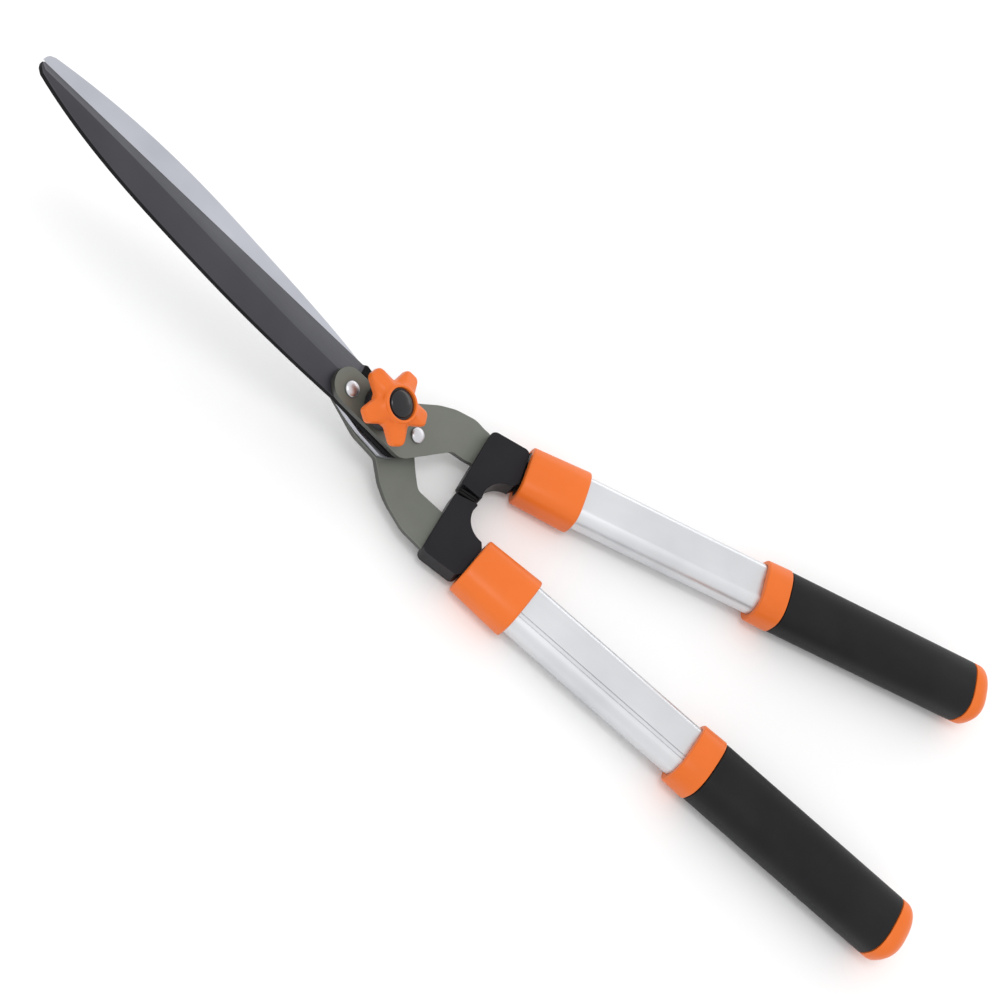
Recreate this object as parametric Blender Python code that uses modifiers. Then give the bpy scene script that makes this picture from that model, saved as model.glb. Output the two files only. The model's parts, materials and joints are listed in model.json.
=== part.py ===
"""Hedge shears with two riveted blades, cranked oval handles and a star tension knob.

The shears are modelled in the tool frame: X runs from the blade tips to the handles, Y points to
the upper half's handle, and Z is the pivot axis, pointing to the knob. A parent empty then tips
the whole tool into the pose in which it lies on a floor, on its two handles with the blades up.
The blades are closed, with the two bumper pads face to face. All lengths are in metres.
"""
import math

import bmesh
import bpy
from mathutils import Matrix, Vector

MM = 0.001

# Driving dimensions
BLADE_REACH = 212 * MM          # pivot to blade tip
BLADE_THICKNESS = 3 * MM
PLATE_THICKNESS = 3 * MM        # steel tang plate that joins a blade to its handle
CRANK = math.radians(25.4)      # the handles leave the blade plane towards the knob
SPLAY = math.radians(8.8)       # each handle leaves the middle line
HANDLE_START_X = 59.5 * MM      # front of the ferrules, on the handle plane
HANDLE_START_Z = 6 * MM
HANDLE_START_Y = 25.9 * MM      # handle axis, at the front of the ferrules
FERRULE_END = 24.2 * MM         # stations along a handle, from the ferrule's front
COUPLING_START = 24.6 * MM
COUPLING_END = 57.7 * MM
COUPLING_STEP = 29.8 * MM       # the tube's front end rests on this step of the bore
COLLAR_START = 163.2 * MM
GRIP_START = 177.4 * MM
GRIP_END = 292.8 * MM
HANDLE_END = 305.5 * MM
TUBE_HALF_WIDTH = 14 * MM
TUBE_HALF_DEPTH = 8.5 * MM
TUBE_WALL = 1.6 * MM
TUBE_POWERS = (3.6, 2.4)        # how square the tube's two edges are
GROOVE = (5.4 * MM, 7.9 * MM)   # the tube's groove, from its middle line
GROOVE_DEPTH = 0.7 * MM
GRIP_HALF_WIDTH = 16.7 * MM
GRIP_HALF_DEPTH = 13.1 * MM
FERRULE_HALF_WIDTH = 13.2 * MM
FERRULE_DEPTH = 11 * MM
COUPLING_FRONT_DEPTH = 11.7 * MM   # half depths of the rings that touch the floor
COLLAR_REAR_DEPTH = 13.4 * MM
EDGE = 1.2 * MM                    # rounding at the ends of the moulded sleeves
KNOB_REACH = 19.3 * MM             # middle of the star knob to the blunt tip of a lobe
KNOB_VALLEY = 11.1 * MM            # and to the valley between two lobes
BOSS_RADIUS = 11.2 * MM
LOBE_HALF_WIDTH = 3.5 * MM
HUB_RADIUS = 9.5 * MM
CAP_RADIUS = 6.85 * MM
NUT_FLATS = 13 * MM             # M8 nut
PIVOT_RADIUS = 4 * MM
GAP = 0.3 * MM                  # between two pieces that touch

# Levels along the pivot axis, on the upper side; the lower half mirrors them
BLADE_LOW = GAP / 2
BLADE_TOP = BLADE_LOW + BLADE_THICKNESS
PLATE_LOW = BLADE_TOP + GAP
PLATE_TOP = PLATE_LOW + PLATE_THICKNESS
PLATE_MIDDLE = (PLATE_LOW + PLATE_TOP) / 2
WASHER_LOW = PLATE_TOP + GAP
WASHER_TOP = WASHER_LOW + 1 * MM
SPRING_LOW = WASHER_TOP + GAP
SPRING_TOP = SPRING_LOW + 1.4 * MM
BOSS_LOW = 8.9 * MM             # black boss that the star sits on
BOSS_TOP = 14.1 * MM
LOBE_LOW = 15.4 * MM            # under side of the lobes
LOBE_TOP = 20 * MM
KNOB_HUB = 24.2 * MM            # top of the raised middle
CAP_SEAT = 21.6 * MM            # floor of the cap's recess
CAP_TOP = 24.9 * MM
NUT_LOW = SPRING_TOP + 0.6 * MM
NUT_TOP = NUT_LOW + 6 * MM
BOLT_TOP = CAP_SEAT - 0.6 * MM

# Holes and fasteners
RIVETS = {                      # front and rear one, in the upper blade's coordinates
    1: ((-17.6 * MM, -3.9 * MM), (24.7 * MM, 5.7 * MM)),
    -1: ((-17.6 * MM, -3.9 * MM), (20.5 * MM, 4.5 * MM)),
}
RIVET_RADIUS = 2.5 * MM
RIVET_HEAD_RADIUS = 4 * MM
RIVET_HEAD_HEIGHT = 1.7 * MM
HEAD_RADIUS = 8.5 * MM          # pivot bolt's flat head
HEAD_HEIGHT = 4 * MM
NECK_HALF = 4.1 * MM            # square neck that keeps the bolt from turning
BEND_RADIUS = 20 * MM           # middle of the plate, where a tang turns up by the crank
SHANK_HALF_WIDTH = 7 * MM       # tang inside the handle
SHANK_END = 64 * MM
PIN_X = 48 * MM                 # cross pin, from the ferrule's front
PIN_RADIUS = 2 * MM
INSERT_END = 68 * MM
PLUG_START = 276 * MM           # end cap's plug inside the tube
BUMPER_FACE = GAP / 2
BUMPER_THICKNESS = 1.3 * MM
ARM_WIDTH = 12 * MM

# Inner and outer edge of a tang, (x, y, corner radius); the lower one bends nearer to the pivot
TANG_EDGES = {
    1: (((24 * MM, -10.7 * MM, 10 * MM), (46 * MM, 14.6 * MM, 5 * MM), (58.5 * MM, 17.8 * MM, 0)),
        ((58.5 * MM, 38.4 * MM, 0), (48.5 * MM, 38.5 * MM, 16 * MM),
         (35.5 * MM, 33.5 * MM, 25 * MM), (26.5 * MM, 27.9 * MM, 30 * MM),
         (3 * MM, 8 * MM, 12 * MM))),
    -1: (((27.6 * MM, -12.9 * MM, 10 * MM), (44.9 * MM, 11.5 * MM, 6 * MM),
          (58.5 * MM, 14.2 * MM, 0)),
         ((58.5 * MM, 37.2 * MM, 0), (48 * MM, 34.5 * MM, 18 * MM), (26.5 * MM, 22.2 * MM, 16 * MM),
          (17.6 * MM, 14.4 * MM, 4 * MM), (2 * MM, 14.2 * MM, 16 * MM))),
}

# Spine of a blade: its widest place, the drop from there to the tip and how suddenly it comes,
# the shank's back and how suddenly the spine comes in to it
SPINES = {
    1: (-16.4 * MM, 9.75 * MM, 3.3, -12.1 * MM, 1.8),
    -1: (-16.5 * MM, 12.8 * MM, 2.3, -14.4 * MM, 4),
}
WIDEST = -103 * MM
SPINE_END = -20 * MM            # the shank starts here
SHANKS = {                      # rear end of a blade, from the heel round to its back
    1: ((-10 * MM, 13.4 * MM, 0), (18 * MM, 13.8 * MM, 5 * MM), (29 * MM, 10.5 * MM, 6 * MM),
        (29.8 * MM, -4 * MM, 9 * MM), (20 * MM, -12 * MM, 9 * MM)),
    -1: ((-9 * MM, 11.8 * MM, 0), (1 * MM, 13.3 * MM, 10 * MM), (18 * MM, 13.7 * MM, 5 * MM),
         (24 * MM, 9.3 * MM, 4 * MM), (26.5 * MM, -3 * MM, 8 * MM), (20 * MM, -14.4 * MM, 9 * MM)),
}
HEEL = -16 * MM                 # rear end of the cutting edge
HEEL_EDGES = {1: 14.4 * MM, -1: 10.2 * MM}
TIP_EDGES = {1: -1.4 * MM, -1: 1.3 * MM}    # cutting edge at the tip; the lower blade laps under

RING_POINTS = 48                # round a handle section
KNOB_LOBES = 5
KNOB_TURN = math.radians(22)

COLORS = {
    "coated_steel": ((0.060, 0.058, 0.068), 0.45, 0.6),
    "bare_steel": ((0.56, 0.57, 0.62), 0.3, 1.0),
    "painted_steel": ((0.20, 0.21, 0.19), 0.5, 0.3),
    "zinc_steel": ((0.70, 0.70, 0.72), 0.3, 1.0),
    "black_nylon": ((0.030, 0.028, 0.034), 0.45, 0.0),
    "orange_plastic": ((0.90, 0.19, 0.045), 0.4, 0.0),
    "aluminium": ((0.72, 0.73, 0.75), 0.35, 1.0),
    "grip_rubber": ((0.018, 0.018, 0.020), 0.7, 0.0),
    "bumper_rubber": ((0.012, 0.012, 0.012), 0.8, 0.0),
}


# ---------------------------------------------------------------- scene

def clear_scene():
    for item in list(bpy.data.objects):
        bpy.data.objects.remove(item, do_unlink=True)


def collection(name):
    group = bpy.data.collections.new(name)
    bpy.context.scene.collection.children.link(group)
    return group


def make_materials():
    made = {}
    for name, (color, roughness, metallic) in COLORS.items():
        item = bpy.data.materials.new(name)
        item.use_nodes = True
        shader = item.node_tree.nodes["Principled BSDF"]
        shader.inputs["Base Color"].default_value = (*color, 1)
        shader.inputs["Roughness"].default_value = roughness
        shader.inputs["Metallic"].default_value = metallic
        item.diffuse_color = (*color, 1)
        made[name] = item
    return made


def empty(name, parent=None):
    item = bpy.data.objects.new(name, None)
    item.empty_display_size = 0.03
    PARTS.objects.link(item)
    item.parent = parent
    return item


def add_part(name, mesh, material, parent, matrix=None):
    """A named sub-part that hangs on its body's empty."""
    mesh.name = name
    mesh.materials.clear()
    mesh.materials.append(MATERIALS[material])
    mesh.shade_smooth()
    mesh.set_sharp_from_angle(angle=math.radians(35))
    item = bpy.data.objects.new(name, mesh)
    PARTS.objects.link(item)
    item.parent = parent
    item.matrix_basis = matrix or Matrix.Identity(4)
    return item


def cut(item, mesh, name, matrix=None, operation="DIFFERENCE"):
    """Cut a mesh out of a part, or join it on, with a Boolean in the part's own frame."""
    cutter = bpy.data.objects.new(name, mesh)
    CUTTERS.objects.link(cutter)
    cutter.parent = item.parent
    cutter.matrix_basis = item.matrix_basis @ (matrix or Matrix.Identity(4))
    cutter.hide_render = True
    cutter.display_type = "WIRE"
    boolean = item.modifiers.new(name, "BOOLEAN")
    boolean.operation = operation
    boolean.solver = "EXACT"
    boolean.object = cutter


def bevel(item, width, segments=2):
    modifier = item.modifiers.new("edges", "BEVEL")
    modifier.width = width
    modifier.segments = segments
    modifier.limit_method = "ANGLE"
    modifier.angle_limit = math.radians(40)


# ---------------------------------------------------------------- shapes

def finish_mesh(mesh_edit, name):
    bmesh.ops.recalc_face_normals(mesh_edit, faces=mesh_edit.faces)
    mesh = bpy.data.meshes.new(name)
    mesh_edit.to_mesh(mesh)
    mesh_edit.free()
    return mesh


def box(low, high, name="box"):
    edit = bmesh.new()
    low, high = Vector(low), Vector(high)
    size = high - low
    place = Matrix.Translation((low + high) / 2) @ Matrix.Diagonal((*size, 1))
    bmesh.ops.create_cube(edit, size=1, matrix=place)
    return finish_mesh(edit, name)


def rod(radius, low, high, sides=32, centre=(0, 0), name="rod"):
    """A cylinder, or a prism, along Z."""
    edit = bmesh.new()
    place = Matrix.Translation((centre[0], centre[1], (low + high) / 2))
    bmesh.ops.create_cone(edit, cap_ends=True, segments=sides, radius1=radius, radius2=radius,
                          depth=high - low, matrix=place)
    return finish_mesh(edit, name)


def turned(name, profile, material, parent, matrix=None, steps=32):
    """A turned piece: its profile runs down the outer side, from the top to the bottom."""
    mesh = bpy.data.meshes.new(name)
    points = [(radius, 0, height) for radius, height in profile]
    edges = [(i, i + 1) for i in range(len(points) - 1)]
    if profile[0][0] > 0:
        edges.append((len(points) - 1, 0))
    mesh.from_pydata(points, edges, [])
    item = add_part(name, mesh, material, parent, matrix)
    screw = item.modifiers.new("turn", "SCREW")
    screw.axis = "Z"
    screw.angle = math.tau
    screw.steps = steps
    screw.render_steps = steps
    screw.use_merge_vertices = True
    screw.merge_threshold = 0.0001 * MM
    screw.use_smooth_shade = True
    return item


def rounded(corners, steps=5):
    """An outline with each corner (x, y, radius) turned into an arc."""
    outline = []
    count = len(corners)
    for i, (x, y, radius) in enumerate(corners):
        here = Vector((x, y))
        if radius <= 0:
            outline.append(here)
            continue
        back = (Vector(corners[i - 1][:2]) - here).normalized()
        ahead = (Vector(corners[(i + 1) % count][:2]) - here).normalized()
        half = back.angle(ahead) / 2
        centre = here + (back + ahead).normalized() * (radius / math.sin(half))
        start = here + back * (radius / math.tan(half)) - centre
        end = here + ahead * (radius / math.tan(half)) - centre
        turn = start.angle_signed(end)
        for k in range(steps + 1):
            outline.append(centre + Matrix.Rotation(-turn * k / steps, 2) @ start)
    return outline


def arc(centre, radius, start, end, steps):
    """Points on an arc, from one angle to another, in degrees."""
    points = []
    for k in range(steps + 1):
        angle = math.radians(start + (end - start) * k / steps)
        points.append(Vector((centre[0] + radius * math.cos(angle),
                              centre[1] + radius * math.sin(angle))))
    return points


def flat_outline(outline, low, high, side=1):
    """A flat plate from a closed 2D outline; side -1 mirrors it in Y."""
    curve = bpy.data.curves.new("outline", "CURVE")
    curve.dimensions = "2D"
    curve.fill_mode = "BOTH"
    curve.extrude = (high - low) / 2
    spline = curve.splines.new("POLY")
    spline.points.add(len(outline) - 1)
    for target, point in zip(spline.points, outline):
        target.co = (point[0], side * point[1], 0, 1)
    spline.use_cyclic_u = True
    item = bpy.data.objects.new("outline", curve)
    bpy.context.scene.collection.objects.link(item)
    evaluated = item.evaluated_get(bpy.context.evaluated_depsgraph_get())
    mesh = bpy.data.meshes.new_from_object(evaluated)
    bpy.data.objects.remove(item)
    edit = bmesh.new()
    edit.from_mesh(mesh)
    bmesh.ops.remove_doubles(edit, verts=edit.verts, dist=0.001 * MM)
    bmesh.ops.translate(edit, verts=edit.verts, vec=(0, 0, (low + high) / 2))
    bmesh.ops.dissolve_limit(edit, angle_limit=math.radians(0.5), verts=edit.verts,
                             edges=edit.edges, delimit={"NORMAL"})
    return edit


def loft(rings, closed):
    """A skin over rings of equal point counts: closed end to start, or with flat end caps."""
    edit = bmesh.new()
    loops = [[edit.verts.new(point) for point in ring] for ring in rings]
    pairs = list(zip(loops, loops[1:]))
    if closed:
        pairs.append((loops[-1], loops[0]))
    count = len(loops[0])
    for first, second in pairs:
        for i in range(count):
            j = (i + 1) % count
            edit.faces.new((first[i], first[j], second[j], second[i]))
    if not closed:
        edit.faces.new(loops[0])
        edit.faces.new(loops[-1])
    return edit


# ---------------------------------------------------------------- handle sections

def oval_ring(x, half_width, half_depth, side, powers=(2.7, 2.7), flat=None):
    """Points of a rounded section round the handle axis, in the plane at x.

    The two powers square the inner and the outer side; flat trims the two broad faces.
    """
    ring = []
    for k in range(RING_POINTS):
        angle = math.tau * k / RING_POINTS
        across, deep = math.cos(angle), math.sin(angle)
        power = powers[1] if across > 0 else powers[0]
        reach = (abs(across / half_width) ** power + abs(deep / half_depth) ** power) ** (-1 / power)
        z = deep * reach
        if flat:
            z = max(-flat, min(flat, z))
        ring.append(Vector((x, side * across * reach, z)))
    return ring


def tube_ring(x, offset, side, groove=0):
    """The tube's section, moved outwards by offset; one edge is square and the other round.

    groove is +1 or -1 for the broad face with the groove, which runs near the round edge.
    """
    half_width = TUBE_HALF_WIDTH + offset
    half_depth = TUBE_HALF_DEPTH + offset
    powers = TUBE_POWERS if side < 0 else TUBE_POWERS[::-1]
    ring = oval_ring(x, half_width, half_depth * 1.1, side, powers, flat=half_depth)
    if groove:
        near, far = GROOVE
        for point in ring:
            if near < -point.y < far and groove * point.z > 0:
                point.z -= groove * GROOVE_DEPTH
    return ring


def handle_matrix(side):
    """Frame of a handle: X along it, Z towards the knob side."""
    return plane_matrix() @ Matrix.Translation((0, side * HANDLE_START_Y, 0)) @ Matrix.Rotation(
        side * SPLAY, 4, "Z")


def plane_matrix():
    """Frame of the plane that both handles lie in, at the front of the ferrules."""
    place = Matrix.Translation((HANDLE_START_X, 0, HANDLE_START_Z))
    return place @ Matrix.Rotation(-CRANK, 4, "Y")


def in_plane(along, across):
    """Handle coordinates of the upper half to coordinates in the handle plane."""
    return (along * math.cos(SPLAY) - across * math.sin(SPLAY),
            HANDLE_START_Y + along * math.sin(SPLAY) + across * math.cos(SPLAY))


# ---------------------------------------------------------------- blades and tangs

def spine(x, side):
    """Back edge of a blade, in the upper blade's coordinates."""
    deepest, drop, power, shank, shank_power = SPINES[side]
    if x < WIDEST:
        share = (WIDEST - x) / (BLADE_REACH + WIDEST)
        return deepest + drop * share ** power
    share = min(1, (x - WIDEST) / (SPINE_END - WIDEST))
    return deepest + (shank - deepest) * share ** shank_power


def cutting_edge(x, side):
    """Straight cutting edge of a blade, from the tip to the heel."""
    share = (x + BLADE_REACH) / (BLADE_REACH + HEEL)
    return TIP_EDGES[side] + (HEEL_EDGES[side] - TIP_EDGES[side]) * share


def blade(name, side, material, parent):
    steps = 12
    run = BLADE_REACH - 1 * MM
    edge = [(x, cutting_edge(x, side)) for x in
            (-run + (run + HEEL) * k / steps for k in range(steps + 1))]
    shank = rounded((*SHANKS[side], (SPINE_END, spine(SPINE_END, side), 0)), steps=3)
    back = [(x, spine(x, side)) for x in
            (SPINE_END - (run + SPINE_END - 2 * MM) * k / steps for k in range(1, steps + 1))]
    tip_y = TIP_EDGES[side]
    tip = [(-BLADE_REACH + 0.8 * MM, tip_y - 4.4 * MM), (-BLADE_REACH, tip_y - 2.6 * MM),
           (-BLADE_REACH, tip_y - 1 * MM)]
    low, high = sorted((side * BLADE_LOW, side * BLADE_TOP))
    edit = flat_outline(edge + shank + back + tip, low, high, side)
    item = add_part(name, finish_mesh(edit, name), material, parent)
    cut_holes(item, name, side, PIVOT_RADIUS + GAP)

    # The ground bevel: a plane from a thin edge on the inner face up to the outer face
    start = Vector((-BLADE_REACH, side * cutting_edge(-BLADE_REACH, side), side * 0.55 * MM))
    end = Vector((HEEL, side * HEEL_EDGES[side], side * 0.9 * MM))
    rise = Vector((-90 * MM, side * 0.2 * MM, side * BLADE_TOP))
    along = (end - start).normalized()
    up = (rise - start) - along * (rise - start).dot(along)
    up.normalize()
    out = along.cross(up)
    if out.z * side < 0:
        out = -out
    frame = Matrix((along, up, along.cross(up))).transposed().to_4x4()
    frame.translation = start
    reach_out = 60 * MM
    cutter_height = sorted((0, reach_out if out.dot(along.cross(up)) > 0 else -reach_out))
    length = (end - start).length
    mesh = box((-20 * MM, -reach_out, cutter_height[0]), (length, reach_out, cutter_height[1]))
    cut(item, mesh, name + "_bevel", frame)
    return item


def cut_holes(item, name, side, pivot_radius):
    """Rivet holes, and the pivot hole unless its radius is zero."""
    for i, (x, y) in enumerate(RIVETS[side]):
        cut(item, rod(RIVET_RADIUS + GAP, -20 * MM, 20 * MM, 20, (x, side * y)),
            f"{name}_rivet_hole_{i}")
    if pivot_radius:
        cut(item, rod(pivot_radius, -20 * MM, 20 * MM, 32), name + "_pivot_hole")


def tang(name, side, parent):
    """Steel plate, bent up by the crank angle, that runs into the handle as a shank."""
    middle = side * PLATE_MIDDLE
    bend_x = HANDLE_START_X - (HANDLE_START_Z - middle) / math.tan(CRANK)

    def unfold(x):
        return x if x < bend_x else bend_x + (x - bend_x) / math.cos(CRANK)

    def unfold_plane(along, across):
        s, y = in_plane(along, across)
        return unfold(HANDLE_START_X) + s, y

    inner, outer = TANG_EDGES[side]
    corners = [(-28.2 * MM, -12.7 * MM, 9.2 * MM)]
    corners += [(unfold(x), y, radius) for x, y, radius in inner]
    corners += [
        (*unfold_plane(5 * MM, -9.6 * MM), 0), (*unfold_plane(10 * MM, -SHANK_HALF_WIDTH), 0),
        (*unfold_plane(SHANK_END, -SHANK_HALF_WIDTH), 2 * MM),
        (*unfold_plane(SHANK_END, SHANK_HALF_WIDTH), 2 * MM),
        (*unfold_plane(10 * MM, SHANK_HALF_WIDTH), 0), (*unfold_plane(5 * MM, 10.4 * MM), 0)]
    corners += [(unfold(x), y, radius) for x, y, radius in outer]
    corners.append((-28.2 * MM, 5.3 * MM, 9.2 * MM))
    thick = PLATE_THICKNESS / 2
    edit = flat_outline(rounded(corners, steps=4), -thick, thick, side)

    # Bend the flat plate round an arc in its middle plane
    arc_start = bend_x - BEND_RADIUS * math.tan(CRANK / 2)
    rows = 6
    for k in range(rows + 1):
        x = arc_start + BEND_RADIUS * CRANK * k / rows
        geometry = edit.verts[:] + edit.edges[:] + edit.faces[:]
        bmesh.ops.bisect_plane(edit, geom=geometry, plane_co=(x, 0, 0), plane_no=(1, 0, 0),
                               dist=0.001 * MM)
    bmesh.ops.triangulate(edit, faces=edit.faces[:])
    for vert in edit.verts:
        past = vert.co.x - arc_start
        angle = max(0, min(CRANK, past / BEND_RADIUS))
        beyond = max(0, past - BEND_RADIUS * CRANK)
        radius = BEND_RADIUS - vert.co.z
        x = min(vert.co.x, arc_start) + radius * math.sin(angle) + beyond * math.cos(angle)
        z = BEND_RADIUS - radius * math.cos(angle) + beyond * math.sin(angle)
        vert.co = Vector((x, vert.co.y, middle + z))
    item = add_part(name, finish_mesh(edit, name), "painted_steel", parent)
    cut_holes(item, name, side, PIVOT_RADIUS + GAP if side > 0 else 0)
    if side < 0:
        half = NECK_HALF + GAP
        cut(item, box((-half, -half, -9 * MM), (half, half, -1 * MM)), name + "_square_hole")
    drill_pin_hole(item, name, side, SHANK_HALF_WIDTH, handle_matrix(side))
    return item


def drill_pin_hole(item, name, side, half_length, matrix=None):
    hole = rod(PIN_RADIUS + GAP, -half_length * 3, half_length * 3, 16, (PIN_X, 0))
    cut(item, hole, name + "_pin_hole", matrix)


def rivet(name, place, side, parent):
    """A domed rivet through tang and blade; its inner end is flush with the blade's inner face."""
    low = BLADE_LOW + 0.1 * MM
    seat = PLATE_TOP + GAP
    profile = [(RIVET_RADIUS, low), (RIVET_RADIUS, seat), (RIVET_HEAD_RADIUS, seat)]
    rim = seat + 0.3 * MM
    for angle in (0, 25, 50, 72):
        turn = math.radians(angle)
        profile.append((RIVET_HEAD_RADIUS * math.cos(turn),
                        rim + (RIVET_HEAD_HEIGHT - 0.6 * MM) * math.sin(turn)))
    rings = [[Vector((radius * math.cos(math.tau * k / 20), radius * math.sin(math.tau * k / 20),
                      side * height)) for k in range(20)] for radius, height in profile]
    mesh = finish_mesh(loft(rings, closed=False), name)
    matrix = Matrix.Translation((place[0], side * place[1], 0))
    return add_part(name, mesh, "zinc_steel", parent, matrix)


# ---------------------------------------------------------------- handles

def ferrule(name, side, parent):
    """Nylon ferrule over the tang, with the bumper arm that reaches to the middle line."""
    rear = FERRULE_END
    half = FERRULE_HALF_WIDTH
    arm_end = BUMPER_FACE + BUMPER_THICKNESS + GAP
    front_outer = HANDLE_START_Y + half / math.cos(SPLAY)
    corners = [
        (0, arm_end, 1 * MM), (0, front_outer, 3.5 * MM), (*in_plane(rear, half - 1.6 * MM), 3.5 * MM),
        (*in_plane(rear, -8.4 * MM), 0)]
    outline = rounded(corners, steps=4)
    centre = (24.6 * MM, 5.6 * MM)
    outline += arc(centre, 12.6 * MM, 96, 180, 8)
    outline += [Vector((ARM_WIDTH + 0.6 * MM, arm_end + 0.6 * MM)), Vector((ARM_WIDTH, arm_end))]
    edit = flat_outline(outline, -FERRULE_DEPTH / 2, FERRULE_DEPTH / 2, side)
    item = add_part(name, finish_mesh(edit, name), "black_nylon", parent, plane_matrix())
    bevel(item, 1.7 * MM)
    slot = PLATE_THICKNESS / 2 + GAP
    to_handle = Matrix.Translation((0, side * HANDLE_START_Y, 0)) @ Matrix.Rotation(
        side * SPLAY, 4, "Z")
    mouth = sorted((side * -11.6 * MM, side * 12.2 * MM))
    cut(item, box((-5 * MM, mouth[0], -slot), (5.6 * MM, mouth[1], slot)), name + "_mouth",
        to_handle)
    throat = sorted((side * -9.6 * MM, side * 10.2 * MM))
    cut(item, box((5 * MM, throat[0], -slot), (11 * MM, throat[1], slot)), name + "_throat",
        to_handle)
    half_slot = SHANK_HALF_WIDTH + GAP
    cut(item, box((10 * MM, -half_slot, -slot), (30 * MM, half_slot, slot)), name + "_slot",
        to_handle)
    socket = Matrix.Translation((ARM_WIDTH / 2, side * arm_end, 0)) @ Matrix.Rotation(
        math.pi / 2, 4, "X")
    cut(item, rod(2.2 * MM + GAP, -4.6 * MM, 4.6 * MM, 20), name + "_socket", socket)
    return item


def bumper(name, side, parent):
    """Rubber pad on the end of the bumper arm, held by a stem in the arm."""
    low, high = sorted((side * BUMPER_FACE, side * (BUMPER_FACE + BUMPER_THICKNESS)))
    margin = 1 * MM
    deep = FERRULE_DEPTH / 2 - margin
    item = add_part(name, box((margin, low, -deep), (ARM_WIDTH - margin, high, deep)),
                    "bumper_rubber", parent, plane_matrix())
    bevel(item, 0.4 * MM, 1)
    stem = Matrix.Translation((ARM_WIDTH / 2, side * (BUMPER_FACE + 3 * MM), 0)) @ Matrix.Rotation(
        math.pi / 2, 4, "X")
    cut(item, rod(2.2 * MM, -2.2 * MM, 2.2 * MM, 20), name + "_stem", stem, "UNION")
    return item


def insert(name, side, parent):
    """Nylon plug in the front end of the tube, slotted for the tang."""
    plug = -(TUBE_WALL + GAP)
    rings = [tube_ring(COUPLING_START + GAP, plug, side), tube_ring(INSERT_END, plug, side)]
    item = add_part(name, finish_mesh(loft(rings, closed=False), name), "black_nylon", parent,
                    handle_matrix(side))
    slot = PLATE_THICKNESS / 2 + GAP
    half_slot = SHANK_HALF_WIDTH + GAP
    cut(item, box((20 * MM, -half_slot, -slot), (SHANK_END + GAP, half_slot, slot)),
        name + "_slot")
    drill_pin_hole(item, name, side, TUBE_HALF_DEPTH)
    return item


def sleeve(name, stations, side, material, parent, powers=(2.7, 2.7), step=None):
    """A moulded sleeve round the tube: outer stations (x, half width, half depth) and a bore.

    The bore clears the tube, and narrows to the insert's size in front of the step.
    """
    clearance = GAP + 0.1 * MM
    rings = [oval_ring(x, width, depth, side, powers) for x, width, depth in stations]
    rings.append(tube_ring(stations[-1][0], clearance, side))
    if step:
        rings.append(tube_ring(step, clearance, side))
        clearance -= TUBE_WALL + GAP
        rings.append(tube_ring(step, clearance, side))
    rings.append(tube_ring(stations[0][0], clearance, side))
    return add_part(name, finish_mesh(loft(rings, closed=True), name), material, parent,
                    handle_matrix(side))


def tube(name, side, parent):
    """Flattened aluminium tube; the same extrusion on both sides, one turned end for end."""
    start = COUPLING_STEP + GAP
    groove = -side
    rings = [tube_ring(start, 0, side, groove), tube_ring(GRIP_END, 0, side, groove),
             tube_ring(GRIP_END, -TUBE_WALL, side), tube_ring(start, -TUBE_WALL, side)]
    item = add_part(name, finish_mesh(loft(rings, closed=True), name), "aluminium", parent,
                    handle_matrix(side))
    drill_pin_hole(item, name, side, TUBE_HALF_DEPTH)
    return item


def handle_pin(name, side, parent):
    mesh = rod(PIN_RADIUS, -TUBE_HALF_DEPTH + 0.1 * MM, TUBE_HALF_DEPTH - 0.1 * MM, 20, (PIN_X, 0))
    return add_part(name, mesh, "zinc_steel", parent, handle_matrix(side))


def end_cap(name, side, parent):
    """Domed cap with a plug that sits in the tube."""
    plug = -(TUBE_WALL + GAP)
    face = GRIP_END + GAP
    rings = [tube_ring(PLUG_START, plug - 0.5 * MM, side), tube_ring(face, plug, side)]
    dome_start = face + 3 * MM
    rings.append(oval_ring(face, GRIP_HALF_WIDTH - 0.5 * MM, GRIP_HALF_DEPTH - 0.5 * MM, side))
    rings.append(oval_ring(face + 0.5 * MM, GRIP_HALF_WIDTH, GRIP_HALF_DEPTH, side))
    for angle in (0, 20, 40, 58, 74):
        turn = math.radians(angle)
        rings.append(oval_ring(dome_start + (HANDLE_END - dome_start) * math.sin(turn),
                               GRIP_HALF_WIDTH * math.cos(turn), GRIP_HALF_DEPTH * math.cos(turn),
                               side))
    last = [Vector((HANDLE_END, point.y * 0.4, point.z * 0.4)) for point in rings[-1]]
    rings.append(last)
    return add_part(name, finish_mesh(loft(rings, closed=False), name), "orange_plastic", parent,
                    handle_matrix(side))


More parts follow.
